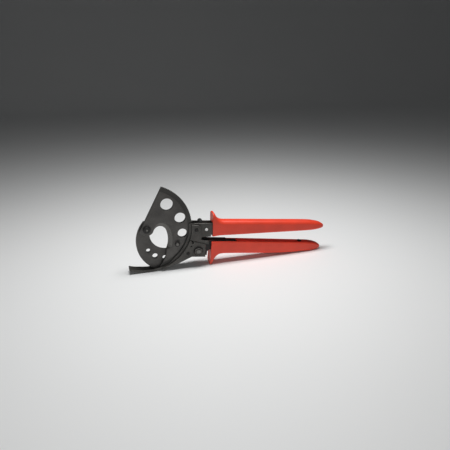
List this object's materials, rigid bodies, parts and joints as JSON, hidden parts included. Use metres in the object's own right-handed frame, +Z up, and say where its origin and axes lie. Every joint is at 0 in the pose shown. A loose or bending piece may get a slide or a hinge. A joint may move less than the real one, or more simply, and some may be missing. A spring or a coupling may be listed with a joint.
{
  "type": "ratchet cable cutter",
  "caption": "One-handed ratchet cable cutter: toothed sickle blade closing over a hook, arc guide ending in a foot, and guarded plastic grips.",
  "frame": {"origin": "on the ground below the middle of the tool, which stands on edge on its foot and lower handle", "axes": "+X from the nose to the handle ends, +Z up, Y through the thickness with the front face towards -Y"},
  "size_m": [0.2788, 0.0226, 0.1145],
  "materials": {
    "blade_steel": "dark satin, ground edge",
    "frame_steel": "dark satin",
    "black_steel": "blackened",
    "fastener_steel": "worn satin",
    "spring_steel": "drawn wire",
    "red_plastic": "moulded, semi-gloss",
    "bumper_rubber": "matte"
  },
  "bodies": {
    "frame": {"guide_channel": "frame_steel", "fixed_blade": "blade_steel", "hook_rivet_1": "fastener_steel", "hook_rivet_2": "fastener_steel", "hook_rivet_3": "fastener_steel", "blade_pivot_bolt": "fastener_steel", "blade_pivot_washer": "black_steel", "blade_pivot_nut": "black_steel", "frame_front_plate": "frame_steel", "frame_back_plate": "frame_steel", "front_cheek_plate": "frame_steel", "back_cheek_plate": "frame_steel", "frame_spacer": "frame_steel", "frame_rivet": "black_steel", "upper_core_rivet": "fastener_steel", "holding_pawl_pin": "black_steel", "holding_pawl_spring": "spring_steel", "handle_pivot_bolt": "fastener_steel", "handle_pivot_washer": "black_steel", "handle_pivot_nut": "fastener_steel", "upper_handle_core": "frame_steel", "upper_grip": "red_plastic"},
    "blade": {"moving_blade": "blade_steel", "blade_knob": "fastener_steel"},
    "lower_handle": {"lower_handle_core": "black_steel", "lower_grip": "red_plastic", "drive_pawl_pin": "fastener_steel", "drive_pawl_spring": "spring_steel", "handle_bumper": "bumper_rubber"},
    "drive_pawl": {"drive_pawl": "black_steel"},
    "holding_pawl": {"holding_pawl": "black_steel"}
  },
  "joints": [
    {"name": "blade_turn", "type": "hinge", "parent": "frame", "child": "blade", "pos_m": [-0.113, 0, 0.0602], "axis": [0, 1, 0], "range_deg": [-140, 78]},
    {"name": "handle_squeeze", "type": "hinge", "parent": "frame", "child": "lower_handle", "pos_m": [-0.048, 0, 0.0235], "axis": [0, 1, 0], "range_deg": [0, 25]},
    {"name": "drive_pawl_tilt", "type": "hinge", "parent": "lower_handle", "child": "drive_pawl", "pos_m": [-0.0527, 0, 0.0353], "axis": [0, 1, 0], "range_deg": [-17, 0]},
    {"name": "holding_pawl_release", "type": "hinge", "parent": "frame", "child": "holding_pawl", "pos_m": [-0.0496, 0, 0.0536], "axis": [0, 1, 0], "range_deg": [-14, 0], "stiffness_Nm_per_rad": 0.02}
  ],
  "couplings": [
    {"joint": "drive_pawl_tilt", "follows": "handle_squeeze", "ratio": -0.66}
  ]
}
